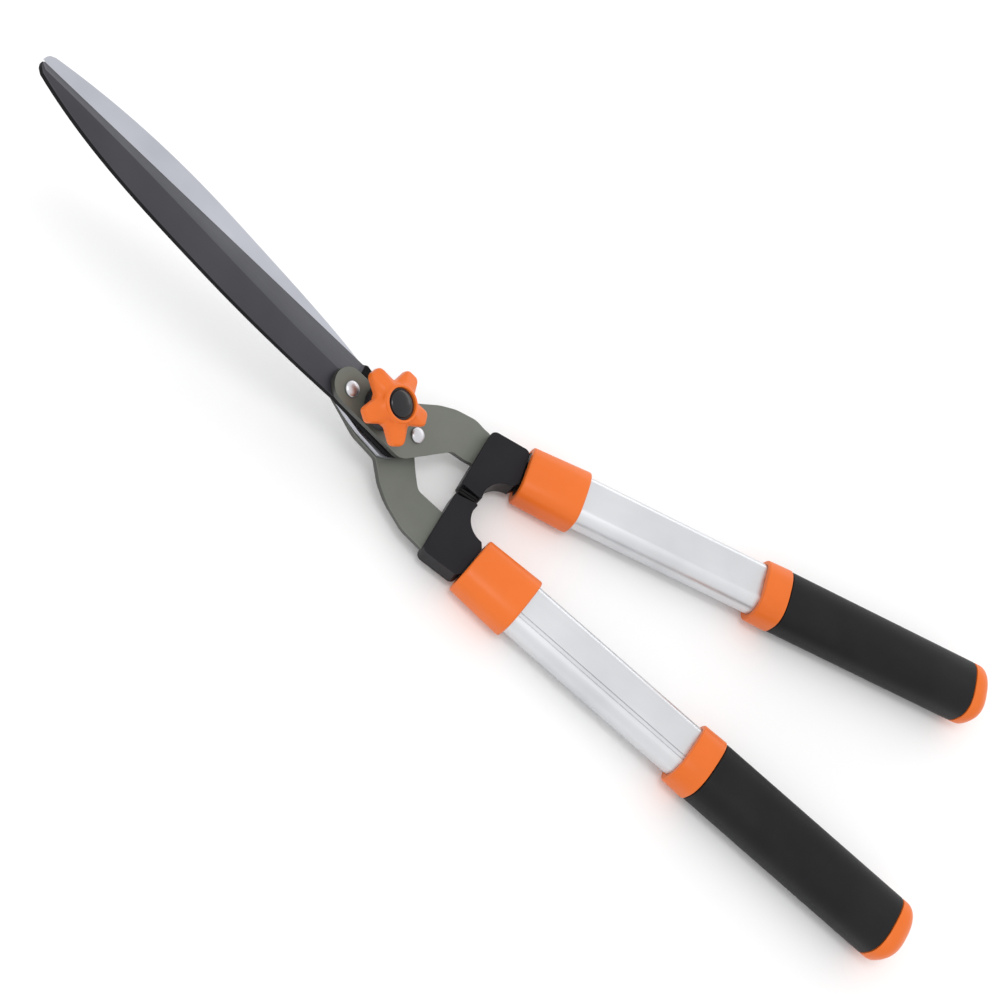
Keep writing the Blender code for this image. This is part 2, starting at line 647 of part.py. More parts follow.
def handle(prefix, side, parent):
    """Everything on one side from the ferrule to the end cap."""
    ferrule(prefix + "_ferrule", side, parent)
    bumper(prefix + "_bumper_pad", side, parent)
    insert(prefix + "_tube_insert", side, parent)
    tube(prefix + "_tube", side, parent)
    handle_pin(prefix + "_handle_pin", side, parent)

    sleeve(prefix + "_coupling", (
        (COUPLING_START, 14.3 * MM, COUPLING_FRONT_DEPTH - 0.9 * MM),
        (COUPLING_START + EDGE, 15.1 * MM, COUPLING_FRONT_DEPTH),
        (COUPLING_END - EDGE, 16.6 * MM, COUPLING_FRONT_DEPTH + 0.2 * MM),
        (COUPLING_END, 15.9 * MM, COUPLING_FRONT_DEPTH - 0.5 * MM)),
        side, "orange_plastic", parent, powers=(3.1, 2.8), step=COUPLING_STEP)
    sleeve(prefix + "_collar", (
        (COLLAR_START, 15.9 * MM, 11.7 * MM),
        (COLLAR_START + EDGE, 16.9 * MM, 12.8 * MM),
        (GRIP_START - GAP - EDGE, 17.2 * MM, COLLAR_REAR_DEPTH),
        (GRIP_START - GAP, 16.9 * MM, COLLAR_REAR_DEPTH - 0.4 * MM)),
        side, "orange_plastic", parent)
    rim_width = GRIP_HALF_WIDTH - 0.6 * MM
    rim_depth = GRIP_HALF_DEPTH - 0.6 * MM
    sleeve(prefix + "_grip", (
        (GRIP_START, rim_width, rim_depth),
        (GRIP_START + EDGE, GRIP_HALF_WIDTH, GRIP_HALF_DEPTH),
        (GRIP_END - EDGE, GRIP_HALF_WIDTH, GRIP_HALF_DEPTH),
        (GRIP_END, rim_width, rim_depth)),
        side, "grip_rubber", parent)
    end_cap(prefix + "_end_cap", side, parent)


# ---------------------------------------------------------------- pivot

def pivot_bolt(parent):
    """Bolt with a flat round head behind the lower tang and a square neck in it."""
    under_head = -PLATE_TOP - GAP
    back = under_head - HEAD_HEIGHT
    thread = PIVOT_RADIUS - 0.15 * MM
    item = turned("pivot_bolt", (
        (0, BOLT_TOP), (thread - 0.6 * MM, BOLT_TOP), (thread, BOLT_TOP - 0.8 * MM),
        (thread, SPRING_TOP), (PIVOT_RADIUS, SPRING_TOP - 0.3 * MM), (PIVOT_RADIUS, under_head),
        (HEAD_RADIUS, under_head), (HEAD_RADIUS, back + 1.4 * MM), (HEAD_RADIUS - 1.2 * MM, back),
        (0, back)), "zinc_steel", parent)
    half = NECK_HALF
    cut(item, box((-half, -half, under_head - 1 * MM), (half, half, -PLATE_LOW)),
        "pivot_bolt_neck", operation="UNION")
    return item


def washers(parent):
    inner = PIVOT_RADIUS + GAP
    outer = 8.4 * MM
    turned("flat_washer", ((inner, WASHER_TOP), (outer, WASHER_TOP), (outer, WASHER_LOW),
                           (inner, WASHER_LOW)), "zinc_steel", parent)
    sheet = 0.8 * MM
    turned("spring_washer", ((inner, SPRING_TOP), (outer - 0.6 * MM, SPRING_LOW + sheet),
                             (outer - 0.6 * MM, SPRING_LOW), (inner, SPRING_TOP - sheet)),
           "zinc_steel", parent)


def star_outline():
    """The knob seen along its axis: lobes with blunt tips and round valleys between them."""
    corners = []
    for k in range(KNOB_LOBES):
        turn = Matrix.Rotation(KNOB_TURN + math.tau * k / KNOB_LOBES, 2)
        valley = Matrix.Rotation(KNOB_TURN + math.tau * (k + 0.5) / KNOB_LOBES, 2)
        for across in (-LOBE_HALF_WIDTH, LOBE_HALF_WIDTH):
            corners.append((*(turn @ Vector((KNOB_REACH, across))), 2.6 * MM))
        corners.append((*(valley @ Vector((KNOB_VALLEY, 0))), 3.5 * MM))
    return rounded(corners, steps=3)


def knob_ring(height, share=1, circle=0, blend=0):
    """A ring of the knob: a share of the full star, blended into a plain circle."""
    ring = []
    for point in star_outline():
        place = share * point * (1 - blend) + point.normalized() * circle * blend
        ring.append(Vector((place.x, place.y, height)))
    return ring


def knob(parent):
    """Star knob: five lobes on a round seat, and a raised hub with a recess for the cap."""
    recess = CAP_RADIUS + 0.4 * MM
    rings = [knob_ring(BOSS_TOP + GAP, circle=BOSS_RADIUS, blend=1)]
    rings += [
        knob_ring(LOBE_LOW, 0.94), knob_ring(LOBE_LOW + 0.8 * MM), knob_ring(LOBE_TOP - 1.2 * MM),
        knob_ring(LOBE_TOP, 0.94), knob_ring(LOBE_TOP + 0.9 * MM, 0.86, HUB_RADIUS, 0.2),
        knob_ring(LOBE_TOP + 2.2 * MM, 0.8, HUB_RADIUS + 0.4 * MM, 0.85)]
    rings += [knob_ring(height, circle=radius, blend=1) for height, radius in (
        (KNOB_HUB - 0.7 * MM, HUB_RADIUS), (KNOB_HUB, HUB_RADIUS - 0.7 * MM), (KNOB_HUB, recess),
        (CAP_SEAT, recess - 0.1 * MM))]
    item = add_part("knob", finish_mesh(loft(rings, closed=False), "knob"), "orange_plastic",
                    parent)
    cut(item, nut_pocket(), "knob_nut_pocket")
    cut(item, rod(PIVOT_RADIUS + GAP, NUT_TOP, KNOB_HUB + 2 * MM, 24), "knob_bolt_hole")
    return item


def knob_boss(parent):
    """Round boss under the star, with the lower half of the nut's pocket."""
    item = turned("knob_boss", (
        (0, BOSS_TOP), (BOSS_RADIUS, BOSS_TOP), (BOSS_RADIUS, BOSS_LOW + 1 * MM),
        (BOSS_RADIUS - 0.6 * MM, BOSS_LOW), (0, BOSS_LOW)), "black_nylon", parent)
    cut(item, rod(8.4 * MM, BOSS_LOW - 2 * MM, SPRING_TOP + GAP, 32), "knob_boss_washer_recess")
    cut(item, nut_pocket(), "knob_boss_nut_pocket")
    return item


def hex_radius(across_flats):
    return across_flats / 2 / math.cos(math.pi / 6)


def nut_pocket():
    return rod(hex_radius(NUT_FLATS) + 0.4 * MM, SPRING_TOP, NUT_TOP + GAP, 6)


def knob_nut(parent):
    item = add_part("knob_nut", rod(hex_radius(NUT_FLATS), NUT_LOW, NUT_TOP, 6), "zinc_steel", parent)
    cut(item, rod(PIVOT_RADIUS + 0.15 * MM, NUT_LOW - 1 * MM, NUT_TOP + 1 * MM, 24),
        "knob_nut_thread")
    return item


def knob_cap(parent):
    radius = CAP_RADIUS
    low = CAP_SEAT + GAP
    rim = KNOB_HUB - 1 * MM
    dome = [(radius * math.sin(math.radians(angle)),
             rim + (CAP_TOP - rim) * math.cos(math.radians(angle)))
            for angle in (0, 22, 44, 66, 90)]
    turned("knob_cap", (*dome, (radius, low), (0, low)), "black_nylon", parent)


# ---------------------------------------------------------------- assembly

def lay_on_floor(root):
    """Tip the tool onto its couplings and collars, and put its box's bottom centre at the origin."""
    front = Vector((COUPLING_START + EDGE, COUPLING_FRONT_DEPTH))
    rear = Vector((GRIP_START - GAP - EDGE, COLLAR_REAR_DEPTH))
    lean = math.atan2(rear.y - front.y, rear.x - front.x)
    root.rotation_euler = (0, CRANK - lean, 0)
    bpy.context.view_layer.update()
    graph = bpy.context.evaluated_depsgraph_get()
    points = []
    for item in PARTS.objects:
        if item.type == "MESH":
            mesh = item.evaluated_get(graph).to_mesh()
            points += [item.matrix_world @ vert.co for vert in mesh.vertices]
    for axis in (0, 1):
        low = min(point[axis] for point in points)
        high = max(point[axis] for point in points)
        root.location[axis] = -(low + high) / 2
    root.location.z = -min(point.z for point in points)


def build():
    root = empty("resting_pose")
    lower = empty("lower_half", root)
    upper = empty("upper_half_hinge", root)
    turner = empty("knob_hinge", root)
    blade("lower_blade", -1, "bare_steel", lower)
    blade("upper_blade", 1, "coated_steel", upper)
    for prefix, side, parent in (("lower", -1, lower), ("upper", 1, upper)):
        tang(prefix + "_tang", side, parent)
        rivet(prefix + "_front_rivet", RIVETS[side][0], side, parent)
        rivet(prefix + "_rear_rivet", RIVETS[side][1], side, parent)
        handle(prefix, side, parent)
    pivot_bolt(lower)
    washers(lower)
    knob(turner)
    knob_boss(turner)
    knob_nut(turner)
    knob_cap(turner)
    lay_on_floor(root)


clear_scene()
PARTS = collection("hedge_shears")
CUTTERS = collection("cutters")
MATERIALS = make_materials()
build()
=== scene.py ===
"""Looks for the hedge shears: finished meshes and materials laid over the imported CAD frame.

Pieces are built in the tool frame: X from the blade tips to the handles, Y to the upper half's
handle, Z along the pivot axis towards the knob. TOOL carries that frame into the row frame, and
each handle has a frame of its own inside it. Lengths are in metres.
"""
import json
import math

import bmesh
import bpy
from mathutils import Matrix, Vector

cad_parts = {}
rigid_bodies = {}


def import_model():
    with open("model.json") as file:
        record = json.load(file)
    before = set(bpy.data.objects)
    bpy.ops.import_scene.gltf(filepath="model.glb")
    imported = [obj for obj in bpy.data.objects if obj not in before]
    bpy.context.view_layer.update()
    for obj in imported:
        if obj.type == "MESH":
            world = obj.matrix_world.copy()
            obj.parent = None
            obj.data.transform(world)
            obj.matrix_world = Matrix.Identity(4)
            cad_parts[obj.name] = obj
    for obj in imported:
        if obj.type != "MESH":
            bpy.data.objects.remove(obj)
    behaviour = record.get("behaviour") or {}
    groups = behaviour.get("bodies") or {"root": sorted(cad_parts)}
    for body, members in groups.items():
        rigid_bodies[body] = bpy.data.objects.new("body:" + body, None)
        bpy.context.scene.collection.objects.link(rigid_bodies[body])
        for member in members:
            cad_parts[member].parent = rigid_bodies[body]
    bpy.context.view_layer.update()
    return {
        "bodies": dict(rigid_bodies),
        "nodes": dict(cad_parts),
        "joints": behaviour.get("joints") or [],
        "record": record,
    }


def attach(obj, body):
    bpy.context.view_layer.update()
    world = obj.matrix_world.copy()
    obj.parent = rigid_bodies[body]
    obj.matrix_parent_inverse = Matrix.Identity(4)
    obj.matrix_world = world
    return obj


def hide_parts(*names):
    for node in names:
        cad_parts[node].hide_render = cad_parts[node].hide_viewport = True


MM = 0.001
GAP = 0.3 * MM

# Sizes of the CAD model that the pieces here repeat
BLADE_REACH = 212 * MM
CRANK = math.radians(25.4)
SPLAY = math.radians(8.8)
HANDLE_START = Vector((59.5 * MM, 25.9 * MM, 6 * MM))
FERRULE_END = 24.2 * MM
FERRULE_HALF_WIDTH = 13.2 * MM
FERRULE_DEPTH = 11 * MM
COUPLING = (24.6 * MM, 57.7 * MM)
COLLAR = (163.2 * MM, 177.1 * MM)
GRIP = (177.4 * MM, 292.8 * MM)
HANDLE_END = 305.5 * MM
TUBE_START = 30.1 * MM
TUBE_HALF_WIDTH = 14 * MM
TUBE_HALF_DEPTH = 8.5 * MM
TUBE_WALL = 1.6 * MM
TUBE_POWERS = (3.6, 2.4)         # how square its two sides are
TUBE_CROWN = 1.1                 # depth of the oval over the flats that trim it
CHANNEL = (4.8 * MM, 8.2 * MM)   # the part of a grooved face that the channel replaces
GRIP_HALF = (16.7 * MM, 13.1 * MM)

# Lowest and highest level of a blade and a tang along the pivot axis, on the upper side
BLADE_LEVELS = (0.15 * MM, 3.15 * MM)
TANG_LEVELS = (3.45 * MM, 6.45 * MM)
HEEL = -16 * MM          # rear end of the cutting edge
HEEL_EDGES = {1: 14.4 * MM, -1: 10.2 * MM}
SPINE_END = -20 * MM     # the shank starts here
WIDEST = -103 * MM
# By side: widest spine, drop to the tip, its power, the shank's back and its power
SPINES = {
    1: (-16.4 * MM, 9.75 * MM, 3.3, -12.1 * MM, 1.8),
    -1: (-16.5 * MM, 12.8 * MM, 2.3, -14.4 * MM, 4),
}
TIP_EDGES = {1: -1.4 * MM, -1: 1.3 * MM}
# Corners of a blade's rear end (x, y, radius), from the heel round to its back
SHANKS = {
    1: ((-10 * MM, 13.4 * MM, 0), (18 * MM, 13.8 * MM, 5 * MM), (29 * MM, 10.5 * MM, 6 * MM),
        (29.8 * MM, -4 * MM, 9 * MM), (20 * MM, -12 * MM, 9 * MM)),
    -1: ((-9 * MM, 11.8 * MM, 0), (1 * MM, 13.3 * MM, 10 * MM), (18 * MM, 13.7 * MM, 5 * MM),
         (24 * MM, 9.3 * MM, 4 * MM), (26.5 * MM, -3 * MM, 8 * MM), (20 * MM, -14.4 * MM, 9 * MM)),
}
# Corners of a tang (x, y, radius): inner edge, then outer edge; the lower one bends sooner
TANG_EDGES = {
    1: (((24 * MM, -10.7 * MM, 10 * MM), (46 * MM, 14.6 * MM, 5 * MM), (58.5 * MM, 17.8 * MM, 0)),
        ((58.5 * MM, 38.4 * MM, 0), (48.5 * MM, 38.5 * MM, 16 * MM),
         (35.5 * MM, 33.5 * MM, 25 * MM), (26.5 * MM, 27.9 * MM, 30 * MM),
         (3 * MM, 8 * MM, 12 * MM))),
    -1: (((27.6 * MM, -12.9 * MM, 10 * MM), (44.9 * MM, 11.5 * MM, 6 * MM),
          (58.5 * MM, 14.2 * MM, 0)),
         ((58.5 * MM, 37.2 * MM, 0), (48 * MM, 34.5 * MM, 18 * MM), (26.5 * MM, 22.2 * MM, 16 * MM),
          (17.6 * MM, 14.4 * MM, 4 * MM), (2 * MM, 14.2 * MM, 16 * MM))),
}
TANG_NOSE = ((-28.2 * MM, -12.7 * MM, 9.2 * MM), (-28.2 * MM, 5.3 * MM, 9.2 * MM))
RIVETS = {
    1: {"front": (-17.6 * MM, -3.9 * MM), "rear": (24.7 * MM, 5.7 * MM)},
    -1: {"front": (-17.6 * MM, -3.9 * MM), "rear": (20.5 * MM, 4.5 * MM)},
}
RIVET_RADIUS = 2.5 * MM
RIVET_HEAD_RADIUS = 4 * MM
RIVET_HEAD_HEIGHT = 1.7 * MM
BEND_RADIUS = 20 * MM
SHANK_HALF_WIDTH = 7 * MM
SHANK_END = 64 * MM      # rear end of a tang, inside its tube
BUMPER_LEVELS = (0.15 * MM, 1.45 * MM)   # a pad's two faces, from the middle plane
ARM_END = 1.75 * MM      # end of a bumper arm, from the middle plane
ARM_WIDTH = 12 * MM

BOSS_LOW = 8.9 * MM
BOSS_TOP = 14.1 * MM
LOBE_LOW = 15.4 * MM     # under side of the lobes
LOBE_TOP = 20 * MM
KNOB_HUB = 24.2 * MM
CAP_SEAT = 21.6 * MM
CAP_TOP = 24.9 * MM
NUT_TOP = 16.05 * MM
KNOB_REACH = 19.3 * MM
KNOB_VALLEY = 11.1 * MM
BOSS_RADIUS = 11.2 * MM
LOBE_HALF_WIDTH = 3.5 * MM
HUB_RADIUS = 9.5 * MM
CAP_RADIUS = 6.85 * MM
CAP_RECESS = 7.8 * MM
KNOB_TURN = math.radians(22)

# The photograph's camera, in the tool frame
CAMERA_PLACE = Vector((-264.7, -364.7, 556.2)) * MM
CAMERA_FORWARD = Vector((0.46258, 0.50514, -0.72860))
CAMERA_UP = Vector((-0.65797, 0.74641, 0.09975))
CAMERA_LENS = 53.61      # mm, on a 36 mm sensor

RING = 96                # points round a handle section
BLADE_SLICES = 240


# ---------------------------------------------------------------- frames

def tool_frame(joint):
    """The tool frame, from the hinge that joins the two halves."""
    axis = Vector(joint["axis"]).normalized()
    across = Vector((0, 1, 0))
    along = across.cross(axis).normalized()
    frame = Matrix((along, across, axis)).transposed().to_4x4()
    frame.translation = Vector(joint["pos_m"])
    return frame


def plane_frame():
    """The plane that both handles lie in, at the front of the ferrules."""
    place = Matrix.Translation((HANDLE_START.x, 0, HANDLE_START.z))
    return TOOL @ place @ Matrix.Rotation(-CRANK, 4, "Y")


def handle_frame(side):
    """X along a handle, Z towards the knob side."""
    shift = Matrix.Translation((0, side * HANDLE_START.y, 0))
    return plane_frame() @ shift @ Matrix.Rotation(side * SPLAY, 4, "Z")


def in_plane(along, across):
    """Upper handle coordinates to coordinates in the handle plane."""
    return Vector((along * math.cos(SPLAY) - across * math.sin(SPLAY),
                   HANDLE_START.y + along * math.sin(SPLAY) + across * math.cos(SPLAY)))


# ---------------------------------------------------------------- materials

class Shader:
    """A Principled material whose colour, roughness and bump come from procedural nodes."""

    def __init__(self, name, color, roughness, metallic=0.0, **sockets):
        self.material = bpy.data.materials.new(name)
        self.material.use_nodes = True
        self.nodes = self.material.node_tree.nodes
        self.links = self.material.node_tree.links
        self.shader = self.nodes["Principled BSDF"]
        self.place = self.add("ShaderNodeTexCoord").outputs["Object"]
        values = {"Base Color": (*color, 1), "Roughness": roughness, "Metallic": metallic}
        values.update({socket.replace("_", " "): value for socket, value in sockets.items()})
        for socket, value in values.items():
            self.shader.inputs[socket].default_value = value
        self.material.diffuse_color = (*color, 1)

    def add(self, kind, **values):
        """A new node; the values go to its inputs, or else to its settings."""
        node = self.nodes.new(kind)
        for name, value in values.items():
            if name in node.inputs:
                node.inputs[name].default_value = value
            else:
                setattr(node, name, value)
        return node

    def noise(self, scale, stretch=(1, 1, 1), detail=4, roughness=0.55):
        """Noise over the object, stretched by its own axes."""
        mapping = self.add("ShaderNodeMapping")
        mapping.inputs["Scale"].default_value = stretch
        self.links.new(self.place, mapping.inputs["Vector"])
        noise = self.add("ShaderNodeTexNoise", Scale=scale, Detail=detail, Roughness=roughness)
        self.links.new(mapping.outputs["Vector"], noise.inputs["Vector"])
        return noise.outputs["Fac"]

    def ramp(self, factor, low, high, start=0.35, end=0.65):
        """A factor turned into a range of values or colours."""
        if isinstance(low, (int, float)):
            node = self.add("ShaderNodeMapRange")
            for name, value in (("From Min", start), ("From Max", end), ("To Min", low),
                                ("To Max", high)):
                node.inputs[name].default_value = value
            self.links.new(factor, node.inputs["Value"])
            return node.outputs["Result"]
        node = self.add("ShaderNodeValToRGB")
        node.color_ramp.elements[0].position = start
        node.color_ramp.elements[1].position = end
        node.color_ramp.elements[0].color = (*low, 1)
        node.color_ramp.elements[1].color = (*high, 1)
        self.links.new(factor, node.inputs["Fac"])
        return node.outputs["Color"]

    def color(self, factor, low, high, start=0.35, end=0.65):
        """Lets a factor drive the base colour."""
        self.links.new(self.ramp(factor, low, high, start, end), self.shader.inputs["Base Color"])

    def roughness(self, factor, low, high, start=0.35, end=0.65):
        """Lets a factor drive the roughness."""
        self.links.new(self.ramp(factor, low, high, start, end), self.shader.inputs["Roughness"])

    def bump(self, *heights):
        """Bumps, each (height, strength, distance), laid over each other."""
        last = None
        for height, strength, distance in heights:
            node = self.add("ShaderNodeBump", Strength=strength, Distance=distance)
            self.links.new(height, node.inputs["Height"])
            if last:
                self.links.new(last.outputs["Normal"], node.inputs["Normal"])
            last = node
        self.links.new(last.outputs["Normal"], self.shader.inputs["Normal"])


def brushed(name, low, high, roughness, grain, metallic=1.0, strength=0.15, **sockets):
    """Metal with fine lines along X and a slow cloudy change of tone."""
    made = Shader(name, high, roughness, metallic, **sockets)
    lines = made.noise(grain, stretch=(0.03, 1, 1), detail=6, roughness=0.7)
    cloud = made.noise(22, detail=3)
    made.color(cloud, low, high, 0.3, 0.7)
    made.roughness(lines, roughness * 0.8, roughness * 1.25, 0.3, 0.7)
    made.bump((lines, strength, 0.05 * MM))
    return made.material


def moulded(name, low, high, roughness, grain, strength, **sockets):
    """Moulded plastic or rubber: a fine texture and a faint change of tone."""
    made = Shader(name, high, roughness, **sockets)
    fine = made.noise(grain, detail=3, roughness=0.6)
    cloud = made.noise(30, detail=4)
    made.color(cloud, low, high)
    made.roughness(fine, roughness * 0.88, roughness * 1.12)
    made.bump((fine, strength, 0.06 * MM), (cloud, 0.05, 0.3 * MM))
    return made.material


def painted(name, low, high, roughness):
    """Sprayed paint: faint orange peel, tiny specks and worn, glossier patches."""
    made = Shader(name, high, roughness, 0.25, Coat_Weight=0.25, Coat_Roughness=0.3)
    peel = made.noise(900, detail=2)
    cloud = made.noise(35, detail=5)
    made.color(cloud, low, high)
    made.roughness(cloud, roughness * 0.85, roughness * 1.15)
    made.bump((peel, 0.12, 0.05 * MM), (made.noise(160, detail=2), 0.08, 0.15 * MM))
    return made.material


def make_materials():
    """Every material by name; most names are the record's slots."""
    return {
        "blade_dark": brushed("coated_steel", (0.029, 0.028, 0.035), (0.041, 0.039, 0.048), 0.42,
                              1500, metallic=0.3, strength=0.12),
        # A lighter copy of the coating for the dark blade's bevel: painted sheen for the light that
        # the bevel catches
        "blade_dark_painted_sheen": brushed("coated_bevel_painted_sheen", (0.042, 0.043, 0.051),
                                     (0.054, 0.055, 0.065), 0.38, 1500, metallic=0.3,
                                     strength=0.15),
        # A near-black copy of the coating: painted shade on the dark blade's spine side, its ends and
        # everything behind the heel
        "blade_dark_painted_shade": brushed("coated_painted_shade", (0.005, 0.005, 0.006), (0.008, 0.008, 0.009),
                                   0.6, 900, metallic=0.0, strength=0.1, Specular_IOR_Level=0.07),
        "blade_bright": brushed("ground_steel", (0.43, 0.44, 0.49), (0.52, 0.53, 0.585), 0.34, 1600),
        "honed_edge": brushed("honed_edge", (0.60, 0.60, 0.64), (0.72, 0.72, 0.76), 0.28, 900),
        "tang_paint": painted("grey_green_paint", (0.118, 0.126, 0.106), (0.140, 0.148, 0.126),
                              0.42),
        # A darker copy of the tang paint: painted shade on the plate's side faces and nose
        "tang_side_painted_shade": painted("side_painted_shade_paint", (0.045, 0.048, 0.042), (0.060, 0.064, 0.055),
                             0.5),
        "fastener_zinc": brushed("zinc_plate", (0.55, 0.55, 0.58), (0.66, 0.66, 0.69), 0.35, 700,
                                 strength=0.05),
        "black_nylon": moulded("black_nylon", (0.008, 0.008, 0.010), (0.012, 0.011, 0.014), 0.42,
                               1800, 0.25, Specular_IOR_Level=0.17),
        "bumper_rubber": moulded("bumper_rubber", (0.005, 0.005, 0.005), (0.008, 0.008, 0.008),
                                 0.75, 1500, 0.3, Specular_IOR_Level=0.2),
        "orange_plastic": moulded("orange_plastic", (0.71, 0.140, 0.014), (0.76, 0.156, 0.018),
                                  0.36, 1300, 0.10, Specular_IOR_Level=0.3),
        "cap_gloss": moulded("gloss_black", (0.006, 0.006, 0.008), (0.009, 0.009, 0.011), 0.2,
                             600, 0.03, Specular_IOR_Level=0.4),
        "tube_aluminium": brushed("satin_aluminium", (0.60, 0.61, 0.63), (0.68, 0.69, 0.71), 0.36,
                                  1100, strength=0.1),
        "grip_rubber": moulded("grip_rubber", (0.007, 0.007, 0.008), (0.011, 0.011, 0.012), 0.5,
                               1400, 0.35, Specular_IOR_Level=0.18),
    }


# ---------------------------------------------------------------- meshes

def add_piece(name, edit, slot, body, node, frame, materials=None, smooth=35):
    """A finished piece that stands for one CAD node and rides on its body."""
    bmesh.ops.recalc_face_normals(edit, faces=edit.faces)
    mesh = bpy.data.meshes.new(name)
    edit.to_mesh(mesh)
    edit.free()
    for material in materials or [slot]:
        mesh.materials.append(MATERIALS[material])
    mesh.shade_smooth()
    mesh.set_sharp_from_angle(angle=math.radians(smooth))
    piece = bpy.data.objects.new(name, mesh)
    bpy.context.scene.collection.objects.link(piece)
    piece.matrix_world = frame
    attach(piece, body)
    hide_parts(node)
    return piece


def round_edges(piece, width, segments=3):
    """A bevel on every edge sharper than 40 degrees."""
    modifier = piece.modifiers.new("edges", "BEVEL")
    modifier.width = width
    modifier.segments = segments
    modifier.limit_method = "ANGLE"
    modifier.angle_limit = math.radians(40)
    modifier.harden_normals = True


def skin(rings, closed):
    """Faces over rings of equal point counts: end to start, or with two flat ends."""
    edit = bmesh.new()
    loops = [[edit.verts.new(point) for point in ring] for ring in rings]
    pairs = list(zip(loops, loops[1:]))
    if closed:
        pairs.append((loops[-1], loops[0]))
    count = len(loops[0])
    for first, second in pairs:
        for i in range(count):
            j = (i + 1) % count
            edit.faces.new((first[i], first[j], second[j], second[i]))
    if not closed:
        edit.faces.new(loops[0])
        edit.faces.new(loops[-1])
    return edit


def rounded(corners, steps=8):
    """An outline with each corner (x, y, radius) turned into an arc."""
    outline = []
    count = len(corners)
    for i, (x, y, radius) in enumerate(corners):
        here = Vector((x, y))
        if radius <= 0:
            outline.append(here)
            continue
        back = (Vector(corners[i - 1][:2]) - here).normalized()
        ahead = (Vector(corners[(i + 1) % count][:2]) - here).normalized()
        half = back.angle(ahead) / 2
        centre = here + (back + ahead).normalized() * (radius / math.sin(half))
        start = here + back * (radius / math.tan(half)) - centre
        end = here + ahead * (radius / math.tan(half)) - centre
        turn = start.angle_signed(end)
        for k in range(steps + 1):
            outline.append(centre + Matrix.Rotation(-turn * k / steps, 2) @ start)
    return outline


def arc(centre, radius, start, end, steps):
    """Points on an arc between two angles in degrees."""
    angles = (math.radians(start + (end - start) * k / steps) for k in range(steps + 1))
    return [Vector((centre[0] + radius * math.cos(a), centre[1] + radius * math.sin(a)))
            for a in angles]


def plate(outline, low, high, side=1):
    """A flat plate with a closed outline; side -1 mirrors it in Y."""
    edit = bmesh.new()
    bottom = [edit.verts.new((point.x, side * point.y, low)) for point in outline]
    top = [edit.verts.new((point.x, side * point.y, high)) for point in outline]
    edit.faces.new(bottom)
    edit.faces.new(top)
    count = len(outline)
    for i in range(count):
        j = (i + 1) % count
        edit.faces.new((bottom[i], bottom[j], top[j], top[i]))
    return edit


def turned_rings(profile, count=64):
    """Rings of a turned piece, from (radius, height) down its outer side."""
    return [[Vector((radius * math.cos(math.tau * k / count),
                     radius * math.sin(math.tau * k / count), height)) for k in range(count)]
            for radius, height in profile]


def smoothstep(x, low, high):
    """0 up to low, 1 from high on, and a soft rise between them."""
    share = max(0, min(1, (x - low) / (high - low)))
    return share * share * (3 - 2 * share)


# ---------------------------------------------------------------- blades and tangs

def spine(x, side):
    """The y of a blade's back edge at x."""
    deepest, drop, power, shank, shank_power = SPINES[side]
    if x < WIDEST:
        return deepest + drop * ((WIDEST - x) / (BLADE_REACH + WIDEST)) ** power
    share = min(1, (x - WIDEST) / (SPINE_END - WIDEST))
    return deepest + (shank - deepest) * share ** shank_power


def cutting_edge(x, side):
    """The y of a blade's cutting edge at x."""
    share = (x + BLADE_REACH) / (BLADE_REACH + HEEL)
    return TIP_EDGES[side] + (HEEL_EDGES[side] - TIP_EDGES[side]) * share


def blade_outline(side, steps=60):
    """A blade seen along the pivot axis: cutting edge, rear end, spine and blunt tip."""
    run = BLADE_REACH - 1 * MM
    edge = [Vector((x, cutting_edge(x, side))) for x in
            (-run + (run + HEEL) * k / steps for k in range(steps + 1))]
    shank = rounded((*SHANKS[side], (SPINE_END, spine(SPINE_END, side), 0)))
    back = [Vector((x, spine(x, side))) for x in
            (SPINE_END - (run + SPINE_END - 2 * MM) * k / steps for k in range(1, steps + 1))]
    tip_y = TIP_EDGES[side]
    tip = [Vector((-BLADE_REACH + 0.8 * MM, tip_y - 4.4 * MM)),
           Vector((-BLADE_REACH, tip_y - 2.6 * MM)), Vector((-BLADE_REACH, tip_y - 1 * MM))]
    return edge + shank + back + tip


def span(outline, x):
    """Lowest and highest y of an outline at x."""
    found = []
    for first, second in zip(outline, outline[1:] + outline[:1]):
        if first.x != second.x and min(first.x, second.x) <= x <= max(first.x, second.x):
            share = (x - first.x) / (second.x - first.x)
            found.append(first.y + (second.y - first.y) * share)
    return min(found), max(found)


def blade_stations(start, end):
    """Places of a blade's sections: even slices, closer at both ends and where the bevel ends."""
    end_gap = 0.01 * MM
    run = end - start - 2 * end_gap
    stations = [start + end_gap + run * k / BLADE_SLICES for k in range(BLADE_SLICES + 1)]
    stations += [start + offset * MM for offset in (0.15, 0.3, 0.6)]
    stations += [end - offset * MM for offset in (0.05, 0.15, 0.3, 0.5)]
    stations += [HEEL + offset * MM for offset in (-2.2, -1.8, -1.4, -1, -0.6, -0.2, 0.2, 0.6)]
    return sorted(stations)


